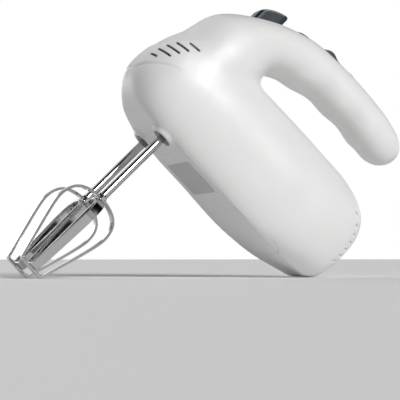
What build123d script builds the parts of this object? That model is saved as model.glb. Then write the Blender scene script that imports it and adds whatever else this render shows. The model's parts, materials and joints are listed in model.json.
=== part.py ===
"""Hand mixer with two balloon beaters, standing on its beaters and its heel.

Everything is drawn in the mixer's own frame, in millimetres: Z runs up along the beater
shafts, X runs rearwards from the shafts to the heel, Y is the width, and Z = 0 is the rim
of the beater sockets. The finished pieces are then tilted into the resting pose.
"""
import os
from math import cos, degrees, pi, radians, sin

from build123d import *

# Driving dimensions
WALL = 2.5                 # housing wall
SHAFT_SPACING = 46.0       # between the two beater shafts
AXIS_Y = SHAFT_SPACING / 2
REST_TILT = 45.8           # body's slope when it stands on its beaters and heel
FIT = 0.05                 # radial running clearance

SHAFT_R = 3.0              # beater shaft
SHAFT_TOP = 40.0
FERRULE_TOP, FERRULE_BOTTOM = -53.5, -60.0
FERRULE_R = 4.6
ROD_R = 1.6
HEAD_R = 22.0              # half the beater's width
HEAD_SHOULDER_Z = -75.0
HEAD_FOOT_R = 11.0
HEAD_FOOT_Z = -125.0
STRIP = 1.2                # beater strip thickness
STRIP_WIDTH = 6.4

MOTOR_Z = 32.0             # height of the motor and worm axis
MOTOR_SHAFT_R = 2.5
WORM_CORE_R = 5.8
WORM_TIP_R = 7.0
WHEEL_TEETH = 36
WHEEL_ROOT_R = 15.4
WHEEL_TIP_R = 16.8
WORM_LEAD = pi * (WHEEL_ROOT_R + WHEEL_TIP_R) / WHEEL_TEETH    # one start
WHEEL_BOTTOM, WHEEL_TOP = 26.0, 38.0

SPINDLE_R = 5.5
SPINDLE_BOTTOM, SPINDLE_TOP = 8.6, 52.0
HUB_R = 7.5
BUSH_R = 8.0
FRAME_PLATE = 3.0
FRAME_LOW_Z, FRAME_HIGH_Z = 12.0, 46.0
FRAME_FRONT_X, FRAME_REAR_X = -24.0, 24.0
UPRIGHT = 4.0
LEG_FOOT_Z = 5.7

SOCKET_R = 7.0
BOSS_R = 11.5
COVER_FRONT_X, COVER_REAR_X, COVER_HALF_Y = -3.0, 112.0, 36.0

BUTTON_X0, BUTTON_X1, BUTTON_HALF_Y = -14.3, 5.6, 8.5
BUTTON_BASE_Z = 108.0
BUTTON_GAP = 0.4
FORK_BAR_BOTTOM, FORK_BAR_TOP = 58.0, 62.0
FORK_PIN_BOTTOM = 46.0

TRACK_LENGTH, TRACK_WIDTH = 54.0, 14.0
TRACK_FLOOR, TRACK_BOTTOM = -0.6, -3.2
SLIDER_SLOPE = 8.0

CORD_BORE_R = 4.0
CORD_Z = 40.0

# Body sections across X: x, bottom, top, half width, half width of the flat bottom
BODY_SECTIONS = [
    (-47.8, 29, 38, 8, 3),
    (-46.3, 22, 48, 18, 7),
    (-43, 16, 60, 25.5, 10),
    (-37, 10.4, 70, 32, 15),
    (-28, 5.3, 76, 37.5, 22),
    (-15, 2.6, 79, 41, 30),
    (5, 2, 80, 43, 35),
    (40, 2, 81, 43.5, 37),
    (90, 2, 81.5, 43.5, 37),
    (115, 3, 81, 41, 32),
    (131, 6.2, 77.5, 35.5, 25),
    (141, 11, 72.5, 29.5, 18),
    (147, 19, 64, 23, 13),
    (149.5, 31, 54, 12, 6),
]
# Handle sections along its path: x, z, slope, half width, outward reach, inward reach
HANDLE_SECTIONS = [
    (-8, 50, 90, 39, 34, 33),
    (-6, 72, 90, 37.5, 32.5, 30),
    (-2, 89, 80, 33, 31.5, 26),
    (9, 106, 48, 26, 19.5, 22),
    (30, 114.5, 18, 21.5, 18.5, 17.5),
    (56, 120.3, 5, 19, 17, 16.2),
    (84, 122, 0, 18.3, 16, 15.8),
    (108, 120.8, -4, 17.3, 15.3, 15.2),
    (121, 119.3, -8, 15, 13.3, 13.5),
    (128.5, 118, -12, 9.5, 8.5, 8.5),
    (131, 117.5, -12, 4, 3.5, 3.5),
]
SIDE_FULLNESS = 0.62       # 0.55 is an ellipse, 1 is a box

# Vent slots in each side of the nose: centre x and length, lowest first
NOSE_SLOTS = [(-44.5, 5.0), (-40.8, 9.0), (-38.2, 9.5), (-35.0, 9.5), (-29.5, 8.5)]
NOSE_SLOT_Z, NOSE_SLOT_PITCH, NOSE_SLOT_HEIGHT = 35.0, 5.6, 1.5
REAR_HOLES, REAR_HOLE_Z, REAR_HOLE_PITCH = 7, 32.0, 5.5
REAR_HOLE_R, REAR_HOLE_Y = 1.2, 21.0

# Screws across the seam: x and z
SEAM_SCREWS = [(-30.0, 60.0), (128.0, 22.0), (132.0, 60.0), (92.0, 121.0)]
SCREW_R, SCREW_HEAD_R, SCREW_HEAD_Y, SCREW_PILOT = 1.5, 3.0, 9.0, 10.0
SCREW_BOSS_R, SCREW_BOSS_HALF = 4.0, 45.0

slide_plane = Plane(
    origin=(44, 0, 135),
    x_dir=(cos(radians(SLIDER_SLOPE)), 0, sin(radians(SLIDER_SLOPE))),
    z_dir=(-sin(radians(SLIDER_SLOPE)), 0, cos(radians(SLIDER_SLOPE))),
)
motor_plane = Plane(origin=(0, 0, MOTOR_Z), x_dir=(0, 1, 0), z_dir=(1, 0, 0))

pieces = []


def keep(piece, label):
    """Label a finished piece and put it on the list to be written."""
    piece.label = label
    pieces.append(piece)


# Housing forms ---------------------------------------------------------------------------

def body_form(inset):
    """The loaf-shaped body, drawn in from its outside by the inset."""
    first, last = BODY_SECTIONS[0][0], BODY_SECTIONS[-1][0]
    middle, half = (first + last) / 2, (last - first) / 2
    with BuildPart() as form:
        for x, bottom, top, width, flat in BODY_SECTIONS:
            low, high, wide = bottom + inset, top - inset, width - inset
            base = flat - inset / 2
            shoulder = low + 0.42 * (high - low)
            rise, drop = high - shoulder, shoulder - low
            with BuildSketch(Plane.YZ.offset(middle + (x - middle) * (half - inset) / half)):
                with BuildLine():
                    Line((-base, low), (base, low))
                    Bezier((base, low), (base + 0.75 * (wide - base), low + 0.22 * drop),
                           (wide, shoulder - 0.6 * drop), (wide, shoulder))
                    Bezier((wide, shoulder), (wide, shoulder + SIDE_FULLNESS * rise),
                           (SIDE_FULLNESS * wide, high), (0, high))
                    Bezier((0, high), (-SIDE_FULLNESS * wide, high),
                           (-wide, shoulder + SIDE_FULLNESS * rise), (-wide, shoulder))
                    Bezier((-wide, shoulder), (-wide, shoulder - 0.6 * drop),
                           (-base - 0.75 * (wide - base), low + 0.22 * drop), (-base, low))
                make_face()
        loft()
    return form.part


def handle_form(inset):
    """The riser and the handle it carries, from inside the body to the free end."""
    with BuildPart() as form:
        for x, z, slope, width, outward, inward in HANDLE_SECTIONS:
            tangent = (cos(radians(slope)), 0, sin(radians(slope)))
            wide, up, down = width - inset, outward - inset, inward - inset
            along = Plane(origin=(x - inset if x > 120 else x, 0, z),
                          x_dir=(0, 1, 0), z_dir=tangent)
            with BuildSketch(along):
                with BuildLine():
                    for side, reach in ((1, up), (1, -down), (-1, -down), (-1, up)):
                        start, end = (side * wide, 0), (0, reach)
                        Bezier(start, (side * wide, SIDE_FULLNESS * reach),
                               (side * SIDE_FULLNESS * wide, reach), end)
                make_face()
        loft()
    return form.part


with BuildPart() as outer_form:
    add(body_form(0))
    add(handle_form(0))

with BuildPart() as inner_form:
    add(body_form(WALL))
    add(handle_form(WALL))

# Bosses for the screws that pull the two halves together
with BuildPart() as screw_bosses:
    with BuildSketch(Plane.XZ.offset(-SCREW_BOSS_HALF)):
        with Locations(*SEAM_SCREWS):
            Circle(SCREW_BOSS_R)
    extrude(amount=2 * SCREW_BOSS_HALF)
    add(outer_form.part, mode=Mode.INTERSECT)

# The whole moulding, hollow, with its vents and openings ----------------------------------

with BuildPart() as moulding:
    add(outer_form.part)
    add(inner_form.part, mode=Mode.SUBTRACT)
    add(screw_bosses.part)
    # vents either side of the nose
    for side in (1, -1):
        with BuildSketch(Plane.XZ.offset(side * 12)):
            for index, (x, length) in enumerate(NOSE_SLOTS):
                with Locations((x, NOSE_SLOT_Z + index * NOSE_SLOT_PITCH)):
                    SlotOverall(length, NOSE_SLOT_HEIGHT)
        extrude(amount=side * 40, mode=Mode.SUBTRACT)
    # two columns of vent holes in the rear
    with BuildSketch(Plane.YZ.offset(120)):
        for index in range(REAR_HOLES):
            height = REAR_HOLE_Z + index * REAR_HOLE_PITCH
            with Locations((-REAR_HOLE_Y, height), (REAR_HOLE_Y, height)):
                Circle(REAR_HOLE_R)
    extrude(amount=40, mode=Mode.SUBTRACT)
    # cord inlet
    with BuildSketch(Plane.YZ.offset(140)):
        with Locations((0, CORD_Z)):
            Circle(CORD_BORE_R + 3)
    extrude(amount=20, mode=Mode.SUBTRACT)
    # opening for the eject button
    with BuildSketch(Plane.XY.offset(100)):
        with Locations(((BUTTON_X0 + BUTTON_X1) / 2, 0)):
            RectangleRounded(BUTTON_X1 - BUTTON_X0 + 2 * BUTTON_GAP,
                             2 * (BUTTON_HALF_Y + BUTTON_GAP), 3 + BUTTON_GAP)
    extrude(amount=45, mode=Mode.SUBTRACT)
    # recess for the speed slider's track
    with BuildSketch(slide_plane.offset(TRACK_BOTTOM)):
        SlotOverall(TRACK_LENGTH, TRACK_WIDTH)
    extrude(amount=12, mode=Mode.SUBTRACT)

with BuildPart() as cover_zone:
    with BuildSketch(Plane.XY.offset(-2)):
        with Locations(((COVER_FRONT_X + COVER_REAR_X) / 2, 0)):
            RectangleRounded(COVER_REAR_X - COVER_FRONT_X, 2 * COVER_HALF_Y, 12)
        SlotCenterToCenter(SHAFT_SPACING, 2 * BOSS_R, rotation=90)
    extrude(amount=9)

with BuildPart() as shells:
    add(moulding.part)
    add(cover_zone.part, mode=Mode.SUBTRACT)

with BuildPart() as left_shell:
    add(shells.part)
    split(bisect_by=Plane.XZ, keep=Keep.TOP)
    # blind pilot holes for the seam screws
    with BuildSketch(Plane.XZ):
        with Locations(*SEAM_SCREWS):
            Circle(SCREW_R)
    extrude(amount=SCREW_PILOT, mode=Mode.SUBTRACT)
keep(left_shell.part, "left_shell")

with BuildPart() as right_shell:
    add(shells.part)
    split(bisect_by=Plane.XZ, keep=Keep.BOTTOM)
    # sunk holes for the screw heads, open to the right side only
    with BuildSketch(Plane.XZ.offset(-SCREW_HEAD_Y)):
        with Locations(*SEAM_SCREWS):
            Circle(SCREW_HEAD_R + 0.3)
    extrude(amount=-30, mode=Mode.SUBTRACT)
    with BuildSketch(Plane.XZ):
        with Locations(*SEAM_SCREWS):
            Circle(SCREW_R)
    extrude(amount=-SCREW_HEAD_Y, mode=Mode.SUBTRACT)
keep(right_shell.part, "right_shell")

with BuildPart() as bottom_cover:
    add(moulding.part)
    add(cover_zone.part, mode=Mode.INTERSECT)
    with BuildSketch():
        SlotCenterToCenter(SHAFT_SPACING, 2 * BOSS_R, rotation=90)
    extrude(amount=WALL + 2)
    with BuildSketch(Plane.XY.offset(WALL + 2)):
        with Locations((0, -AXIS_Y), (0, AXIS_Y)):
            Circle(SOCKET_R + 2)
    extrude(amount=3.5)
    with BuildSketch():
        with Locations((0, -AXIS_Y), (0, AXIS_Y)):
            Circle(SOCKET_R)
    extrude(amount=10, mode=Mode.SUBTRACT)
keep(bottom_cover.part, "bottom_cover")

with BuildPart() as housing_screws:
    with BuildSketch(Plane.XZ.offset(SCREW_PILOT)):
        with Locations(*SEAM_SCREWS):
            Circle(SCREW_R)
    extrude(amount=-(SCREW_PILOT + SCREW_HEAD_Y))
    with BuildSketch(Plane.XZ.offset(-SCREW_HEAD_Y)):
        with Locations(*SEAM_SCREWS):
            Circle(SCREW_HEAD_R)
    extrude(amount=-2)
    with BuildSketch(Plane.XZ.offset(-SCREW_HEAD_Y - 1)):
        with Locations(*SEAM_SCREWS):
            Rectangle(3.6, 0.8)
            Rectangle(0.8, 3.6)
    extrude(amount=-2, mode=Mode.SUBTRACT)
keep(housing_screws.part, "housing_screws")

with BuildPart() as rating_label:
    with BuildSketch(Plane.XY.offset(1.5)):
        with Locations((36, 0)):
            RectangleRounded(28, 50, 2)
    extrude(amount=0.3)
keep(rating_label.part, "rating_label")

# A soft ring that lines the hole where a cord enters
with BuildPart() as cord_inlet:
    with BuildSketch(Plane.YZ.offset(141)):
        with Locations((0, CORD_Z)):
            Circle(CORD_BORE_R + 5)
            Circle(CORD_BORE_R, mode=Mode.SUBTRACT)
    extrude(amount=4)
    with BuildSketch(Plane.YZ.offset(145)):
        with Locations((0, CORD_Z)):
            Circle(CORD_BORE_R + 3)
            Circle(CORD_BORE_R, mode=Mode.SUBTRACT)
    extrude(amount=6)
keep(cord_inlet.part, "cord_inlet")

# Gear frame ------------------------------------------------------------------------------

with BuildPart() as gear_frame:
    with BuildSketch(Plane.XY.offset(FRAME_LOW_Z)):
        with BuildLine():
            Polyline((FRAME_FRONT_X, -20), (-8, -33), (FRAME_REAR_X, -33), (FRAME_REAR_X, 33),
                     (-8, 33), (FRAME_FRONT_X, 20), close=True)
        make_face()
        with Locations((0, -AXIS_Y), (0, AXIS_Y)):
            Circle(BUSH_R, mode=Mode.SUBTRACT)
    extrude(amount=FRAME_PLATE)
    # uprights that carry the motor's bearings
    for start in (FRAME_FRONT_X, FRAME_REAR_X - UPRIGHT):
        with BuildSketch(Plane.YZ.offset(start)):
            with Locations((0, (FRAME_LOW_Z + FRAME_HIGH_Z) / 2)):
                Rectangle(20, FRAME_HIGH_Z - FRAME_LOW_Z)
        extrude(amount=UPRIGHT)
        with BuildSketch(Plane.YZ.offset(start)):
            with Locations((0, MOTOR_Z)):
                Circle(5)
        extrude(amount=UPRIGHT, mode=Mode.SUBTRACT)
    # legs that stand on the bottom cover
    with BuildSketch(Plane.XY.offset(LEG_FOOT_Z)):
        with Locations((-14, -22), (-14, 22), (20, -28), (20, 28)):
            Circle(3)
    extrude(amount=FRAME_LOW_Z - LEG_FOOT_Z)
keep(gear_frame.part, "gear_frame")

with BuildPart() as gear_frame_top:
    with BuildSketch(Plane.XY.offset(FRAME_HIGH_Z)):
        RectangleRounded(FRAME_REAR_X - FRAME_FRONT_X, 66, 8)
        with Locations((0, -AXIS_Y), (0, AXIS_Y)):
            Circle(BUSH_R, mode=Mode.SUBTRACT)
        with Locations((FRAME_FRONT_X + 2, 0), (FRAME_REAR_X - 2, 0)):
            Circle(1.2, mode=Mode.SUBTRACT)
    extrude(amount=FRAME_PLATE)
keep(gear_frame_top.part, "gear_frame_top")

with BuildPart() as frame_screws:
    with BuildSketch(Plane.XY.offset(FRAME_HIGH_Z)):
        with Locations((FRAME_FRONT_X + 2, 0), (FRAME_REAR_X - 2, 0)):
            Circle(1.2)
    extrude(amount=FRAME_PLATE)
    with BuildSketch(Plane.XY.offset(FRAME_HIGH_Z + FRAME_PLATE)):
        with Locations((FRAME_FRONT_X + 2, 0), (FRAME_REAR_X - 2, 0)):
            Circle(2)
    extrude(amount=1.5)
keep(frame_screws.part, "frame_screws")

with BuildPart() as spindle_bushes:
    for low, high in ((9.5, 17.5), (44.0, 51.0)):
        with BuildSketch(Plane.XY.offset(low)):
            with Locations((0, -AXIS_Y), (0, AXIS_Y)):
                Circle(BUSH_R)
                Circle(SPINDLE_R + FIT, mode=Mode.SUBTRACT)
        extrude(amount=high - low)
keep(spindle_bushes.part, "spindle_bushes")

# Motor -----------------------------------------------------------------------------------

REAR_BEARING_X = 100.0
with BuildPart() as motor_bearings:
    for start in (FRAME_FRONT_X, FRAME_REAR_X - UPRIGHT, REAR_BEARING_X):
        with BuildSketch(motor_plane.offset(start)):
            Circle(5)
            Circle(MOTOR_SHAFT_R + FIT, mode=Mode.SUBTRACT)
        extrude(amount=UPRIGHT)
keep(motor_bearings.part, "motor_bearings")

with BuildPart() as rear_bearing_bracket:
    with BuildSketch(Plane.YZ.offset(REAR_BEARING_X)):
        with Locations((0, 32)):
            RectangleRounded(44, 50, 6)
            Circle(5, mode=Mode.SUBTRACT)
            with Locations((-14, 14), (14, 14), (-14, -14), (14, -14)):
                Circle(3.5, mode=Mode.SUBTRACT)
    extrude(amount=3)
keep(rear_bearing_bracket.part, "rear_bearing_bracket")

STACK_FRONT, STACK_REAR = 48.0, 70.0
with BuildPart() as stator_core:
    with BuildSketch(motor_plane.offset(STACK_FRONT)):
        RectangleRounded(56, 50, 8)
        Circle(16.5, mode=Mode.SUBTRACT)
        with Locations((-21, 0), (21, 0)):
            SlotOverall(22, 5, rotation=90, mode=Mode.SUBTRACT)
    extrude(amount=STACK_REAR - STACK_FRONT)
keep(stator_core.part, "stator_core")

with BuildPart() as field_coils:
    for start in (STACK_FRONT - 6, STACK_REAR):
        with BuildSketch(motor_plane.offset(start)):
            for side in (1, -1):
                with Locations((0, side * 18.5)):
                    RectangleRounded(34, 9, 3)
        extrude(amount=6)
keep(field_coils.part, "field_coils")

with BuildPart() as armature_shaft:
    with BuildSketch(motor_plane.offset(FRAME_FRONT_X - 2)):
        Circle(MOTOR_SHAFT_R)
    extrude(amount=REAR_BEARING_X + 6 - (FRAME_FRONT_X - 2))
keep(armature_shaft.part, "armature_shaft")

with BuildPart() as armature_core:
    with BuildSketch(motor_plane.offset(STACK_FRONT)):
        Circle(15.8)
        Circle(MOTOR_SHAFT_R, mode=Mode.SUBTRACT)
        with PolarLocations(13.6, 12):
            SlotOverall(5, 2, mode=Mode.SUBTRACT)
    extrude(amount=STACK_REAR - STACK_FRONT)
keep(armature_core.part, "armature_core")

with BuildPart() as armature_windings:
    for start in (STACK_FRONT - 5, STACK_REAR):
        with BuildSketch(motor_plane.offset(start)):
            Circle(11)
            with PolarLocations(10, 12):
                Circle(2.5)
            Circle(MOTOR_SHAFT_R, mode=Mode.SUBTRACT)
        extrude(amount=5)
keep(armature_windings.part, "armature_windings")

with BuildPart() as commutator:
    with BuildSketch(motor_plane.offset(80)):
        Circle(9)
        with PolarLocations(9, 24):
            Rectangle(1.6, 0.5, mode=Mode.SUBTRACT)
        Circle(MOTOR_SHAFT_R, mode=Mode.SUBTRACT)
    extrude(amount=13)
keep(commutator.part, "commutator")

with BuildPart() as cooling_fan:
    with BuildSketch(motor_plane.offset(29)):
        Circle(21)
        Circle(MOTOR_SHAFT_R, mode=Mode.SUBTRACT)
    extrude(amount=1.5)
    with BuildSketch(motor_plane.offset(30.5)):
        Circle(5)
        Circle(MOTOR_SHAFT_R, mode=Mode.SUBTRACT)
        with PolarLocations(13, 10):
            Rectangle(15, 1.2)
    extrude(amount=7)
keep(cooling_fan.part, "cooling_fan")

with BuildPart() as carbon_brushes:
    for side in (1, -1):
        with BuildSketch(Plane.XZ.offset(-side * 9.3)):
            with Locations((86.5, MOTOR_Z)):
                Rectangle(6, 5)
        extrude(amount=-side * 12)
keep(carbon_brushes.part, "carbon_brushes")

with BuildPart() as brush_holders:
    for side in (1, -1):
        with BuildSketch(Plane.XZ.offset(-side * 12)):
            with Locations((86.5, MOTOR_Z)):
                Rectangle(10, 9)
                Rectangle(6, 5, mode=Mode.SUBTRACT)
        extrude(amount=-side * 16)
keep(brush_holders.part, "brush_holders")

with BuildPart() as brush_springs:
    for side in (1, -1):
        with BuildSketch(Plane.XZ.offset(-side * 21.3)):
            with Locations((86.5, MOTOR_Z)):
                Circle(2.2)
                Circle(1.6, mode=Mode.SUBTRACT)
        extrude(amount=-side * 6)
keep(brush_springs.part, "brush_springs")

# Worm and worm wheels --------------------------------------------------------------------

with BuildPart() as worm:
    with BuildSketch(motor_plane.offset(-13)):
        Circle(WORM_CORE_R)
        Circle(MOTOR_SHAFT_R, mode=Mode.SUBTRACT)
    extrude(amount=26)
    with BuildLine():
        helix = Helix(pitch=WORM_LEAD, height=7 * WORM_LEAD, radius=WORM_CORE_R,
                      center=(-3.5 * WORM_LEAD, 0, MOTOR_Z), direction=(1, 0, 0))
    with BuildSketch(Plane(origin=helix @ 0, x_dir=(helix @ 0 - Vector(-3.5 * WORM_LEAD, 0, MOTOR_Z)),
                           z_dir=helix % 0)):
        with BuildLine():
            Polyline((-0.4, -0.5), (WORM_TIP_R - WORM_CORE_R, -0.35),
                     (WORM_TIP_R - WORM_CORE_R, 0.35), (-0.4, 0.5), close=True)
        make_face()
    sweep(path=helix, is_frenet=True)
keep(worm.part, "worm")


def worm_wheel(centre_y, phase):
    """A wheel on its hub, turned so that the worm's thread runs in a tooth gap."""
    tooth = WHEEL_TIP_R - WHEEL_ROOT_R
    with BuildPart() as wheel:
        with BuildSketch(Plane.XY.offset(WHEEL_BOTTOM)):
            with Locations((0, centre_y)):
                Circle(WHEEL_ROOT_R)
                with PolarLocations(WHEEL_ROOT_R, WHEEL_TEETH, start_angle=phase):
                    Polygon((-0.5, -0.6), (tooth, -0.4), (tooth, 0.4), (-0.5, 0.6), align=None)
        extrude(amount=WHEEL_TOP - WHEEL_BOTTOM)
        with BuildSketch(Plane.XY.offset(18)):
            with Locations((0, centre_y)):
                Circle(HUB_R)
        extrude(amount=25.7)
        with BuildSketch(Plane.XY.offset(18)):
            with Locations((0, centre_y)):
                Circle(SPINDLE_R)
        extrude(amount=30, mode=Mode.SUBTRACT)
    return wheel.part


def spindle(centre_y):
    """The hollow spindle that a beater's shaft pushes into."""
    with BuildPart() as sleeve:
        with BuildSketch(Plane.XY.offset(SPINDLE_BOTTOM)):
            with Locations((0, centre_y)):
                Circle(SPINDLE_R)
                Circle(SHAFT_R + FIT, mode=Mode.SUBTRACT)
        extrude(amount=SPINDLE_TOP - SPINDLE_BOTTOM)
    return sleeve.part


# Beaters ---------------------------------------------------------------------------------

def beater_shaft(centre_y):
    """Shaft, ferrule and the rod that runs down to the foot of the head."""
    with BuildPart() as turned:
        with BuildSketch(Plane.XZ.offset(-centre_y)):
            with BuildLine():
                Polyline((0, SHAFT_TOP), (SHAFT_R - 1, SHAFT_TOP), (SHAFT_R, SHAFT_TOP - 1.5),
                         (SHAFT_R, FERRULE_TOP + 2), (FERRULE_R, FERRULE_TOP),
                         (FERRULE_R, FERRULE_BOTTOM), (ROD_R, FERRULE_BOTTOM - 2),
                         (ROD_R, HEAD_FOOT_Z + 2 * STRIP), (0, HEAD_FOOT_Z + 2 * STRIP),
                         close=True)
            make_face()
        revolve(axis=Axis((0, centre_y, 0), (0, 0, 1)))
    return turned.part


def loop_outline(middle, lift, inset):
    """Half by half, the outline of a strip's outside, or of its inside with the inset."""
    top = (middle, FERRULE_TOP - inset)
    wide, narrow = HEAD_R - inset, HEAD_FOOT_R - inset
    low = HEAD_FOOT_Z + lift + inset
    with BuildSketch(mode=Mode.PRIVATE) as outline:
        with BuildLine():
            for side in (1, -1):
                shoulder = (middle + side * wide, HEAD_SHOULDER_Z)
                foot = (middle + side * narrow, low + 3)
                heel = (middle + side * (narrow - 3.5), low)
                Bezier(top, (middle + side * 13, FERRULE_TOP - 1 - inset),
                       (middle + side * wide, HEAD_SHOULDER_Z + 14), shoulder)
                Bezier(shoulder, (middle + side * (wide - 0.3), HEAD_SHOULDER_Z - 8),
                       (middle + side * (narrow + 2.2), low + 12), foot)
                Bezier(foot, (middle + side * (narrow - 0.5), low), heel)
                Line(heel, (middle, low))
        make_face()
    return outline.sketch


def beater_loop(centre_y, across):
    """One closed strip of the head. The loop across the mixer lies inside the other."""
    lift = STRIP if across else 0
    plane = Plane.YZ if across else Plane.XZ.offset(-centre_y)
    middle = centre_y if across else 0
    with BuildPart() as strip:
        with BuildSketch(plane):
            add(loop_outline(middle, lift, 0))
            add(loop_outline(middle, lift, STRIP), mode=Mode.SUBTRACT)
        extrude(amount=STRIP_WIDTH / 2, both=True)
        with BuildSketch(Plane.XY.offset(FERRULE_BOTTOM - 8)):
            with Locations((0, centre_y)):
                Circle(FERRULE_R)
        extrude(amount=20, mode=Mode.SUBTRACT)
    return strip.part


# Where the thread crosses the worm's sides, a tooth gap of each wheel faces it
mesh_phase = 5 + degrees(WORM_LEAD / 4 / (AXIS_Y - WORM_TIP_R))
for name, centre_y in (("left", -AXIS_Y), ("right", AXIS_Y)):
    keep(worm_wheel(centre_y, mesh_phase), f"{name}_worm_wheel")
    keep(spindle(centre_y), f"{name}_spindle")
    keep(beater_shaft(centre_y), f"{name}_beater_shaft")
    keep(beater_loop(centre_y, False), f"{name}_beater_loop")
    keep(beater_loop(centre_y, True), f"{name}_beater_cross_loop")

# Ejector ---------------------------------------------------------------------------------

BUTTON_MIDDLE_X = (BUTTON_X0 + BUTTON_X1) / 2
with BuildPart() as eject_button:
    with BuildSketch(Plane.XZ.offset(-BUTTON_HALF_Y)):
        with BuildLine():
            ThreePointArc((BUTTON_X0, 119), (BUTTON_X0 + 7, 126), (BUTTON_X1, 130.6))
            Polyline((BUTTON_X1, 130.6), (BUTTON_X1, BUTTON_BASE_Z), (BUTTON_X0, BUTTON_BASE_Z),
                     (BUTTON_X0, 119))
        make_face()
    extrude(amount=2 * BUTTON_HALF_Y)
    fillet(eject_button.edges().filter_by(Axis.Z), 3)
keep(eject_button.part, "eject_button")

with BuildPart() as ejector_fork:
    with BuildSketch(Plane.XY.offset(FORK_BAR_BOTTOM)):
        RectangleRounded(8, SHAFT_SPACING + 8, 3)
    extrude(amount=FORK_BAR_TOP - FORK_BAR_BOTTOM)
    with BuildSketch(Plane.XY.offset(FORK_BAR_TOP)):
        with Locations((BUTTON_MIDDLE_X, 0)):
            Rectangle(5, 8)
    extrude(amount=BUTTON_BASE_Z - FORK_BAR_TOP)
    with BuildSketch(Plane.XY.offset(FORK_PIN_BOTTOM)):
        with Locations((0, -AXIS_Y), (0, AXIS_Y)):
            Circle(2.2)
    extrude(amount=FORK_BAR_BOTTOM - FORK_PIN_BOTTOM)
keep(ejector_fork.part, "ejector_fork")

SPRING_TOP = 52.7
with BuildPart() as eject_spring:
    with BuildSketch(Plane.XY.offset(FRAME_HIGH_Z + FRAME_PLATE)):
        Circle(4)
        Circle(3.1, mode=Mode.SUBTRACT)
    extrude(amount=SPRING_TOP - FRAME_HIGH_Z - FRAME_PLATE)
keep(eject_spring.part, "eject_spring")

# Speed control ---------------------------------------------------------------------------

SLIDER_FRONT, SLIDER_REAR = -4.0, 16.0
STEM_X = 3.0
SLIDER_TRAVEL = 18.0
with BuildPart() as slider_track:
    with BuildSketch(slide_plane.offset(TRACK_BOTTOM)):
        SlotOverall(TRACK_LENGTH, TRACK_WIDTH)
        with Locations((STEM_X - SLIDER_TRAVEL / 2, 0)):
            SlotOverall(SLIDER_TRAVEL + 9, 4.6, mode=Mode.SUBTRACT)
    extrude(amount=TRACK_FLOOR - TRACK_BOTTOM)
keep(slider_track.part, "slider_track")

profile_plane = Plane(origin=slide_plane.origin, x_dir=slide_plane.x_dir, z_dir=(0, -1, 0))
with BuildPart() as speed_slider:
    with BuildSketch(profile_plane):
        with BuildLine():
            Polyline((SLIDER_FRONT, 1.6), (SLIDER_FRONT, -0.3), (SLIDER_REAR, -0.3),
                     (SLIDER_REAR, 0.9))
            Spline((SLIDER_REAR, 0.9), (10.7, 1.9), (8, 3.2), (5, 4.8), (1.6, 4.6),
                   (-1.8, 2.5), (SLIDER_FRONT, 1.6))
        make_face()
    extrude(amount=5, both=True)
    with BuildSketch(slide_plane.offset(-12)):
        with Locations((STEM_X, 0)):
            Rectangle(6, 3.6)
    extrude(amount=12)
keep(speed_slider.part, "speed_slider")

with BuildPart() as speed_switch:
    with BuildSketch(slide_plane.offset(-24)):
        with Locations((STEM_X - SLIDER_TRAVEL / 2, 0)):
            RectangleRounded(34, 14, 2)
    extrude(amount=11.5)
keep(speed_switch.part, "speed_switch")

with BuildPart() as circuit_board:
    with BuildSketch(Plane.XY.offset(63)):
        with Locations((96, 0)):
            Rectangle(30, 44)
    extrude(amount=1.6)
keep(circuit_board.part, "circuit_board")

with BuildPart() as board_parts:
    with BuildSketch(Plane.XY.offset(64.6)):
        with Locations((90, -10)):
            Rectangle(9, 20)
        with Locations((103, 8)):
            Rectangle(7, 12)
    extrude(amount=9)
    with BuildSketch(Plane.XY.offset(64.6)):
        with Locations((90, 12)):
            Circle(4)
    extrude(amount=7)
keep(board_parts.part, "board_parts")

# Resting pose ----------------------------------------------------------------------------

tilted = [piece.moved(Location((0, 0, 0), (0, REST_TILT, 0))) for piece in pieces]
boxes = [piece.bounding_box() for piece in tilted]
front, rear = min(box.min.X for box in boxes), max(box.max.X for box in boxes)
floor = min(box.min.Z for box in boxes)
stand = Location((-(front + rear) / 2, 0, -floor))
print("rest pose: tilt", REST_TILT, "shift", stand.position)

os.makedirs("parts", exist_ok=True)
for piece, turned in zip(pieces, tilted):
    standing = turned.moved(stand)
    standing.label = piece.label
    export_step(standing, f"parts/{piece.label}.step")
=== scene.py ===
"""Hand mixer standing on its beaters and its heel: camera, light, materials and fine pieces."""
import json
import math

import bmesh
import bpy
import numpy as np
from mathutils import Matrix, Vector
from mathutils.bvhtree import BVHTree


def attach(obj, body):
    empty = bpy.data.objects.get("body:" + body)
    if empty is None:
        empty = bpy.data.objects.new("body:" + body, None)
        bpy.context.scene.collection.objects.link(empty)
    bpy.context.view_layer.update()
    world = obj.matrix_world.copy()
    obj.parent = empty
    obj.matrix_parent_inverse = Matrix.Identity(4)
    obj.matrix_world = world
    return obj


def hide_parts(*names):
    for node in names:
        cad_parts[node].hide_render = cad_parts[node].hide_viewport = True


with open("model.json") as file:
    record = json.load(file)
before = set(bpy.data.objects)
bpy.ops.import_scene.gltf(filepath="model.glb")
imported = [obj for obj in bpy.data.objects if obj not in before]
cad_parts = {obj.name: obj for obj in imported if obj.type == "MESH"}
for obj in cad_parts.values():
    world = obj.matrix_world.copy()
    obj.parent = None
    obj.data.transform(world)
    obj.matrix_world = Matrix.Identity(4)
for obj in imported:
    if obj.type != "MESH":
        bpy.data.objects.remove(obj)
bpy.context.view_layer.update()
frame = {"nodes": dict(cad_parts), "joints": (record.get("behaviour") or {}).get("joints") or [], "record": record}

# The mixer's own frame --------------------------------------------------------------------
# X rearwards, Y across, Z up along the beater shafts, Z = 0 at the socket rims, millimetres.
MM = 0.001
joints = {joint["name"]: joint for joint in frame["joints"]}
REAR = Vector(joints["armature_spin"]["axis"]).normalized()
UP = Vector(joints["right_drive_spin"]["axis"]).normalized()
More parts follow.
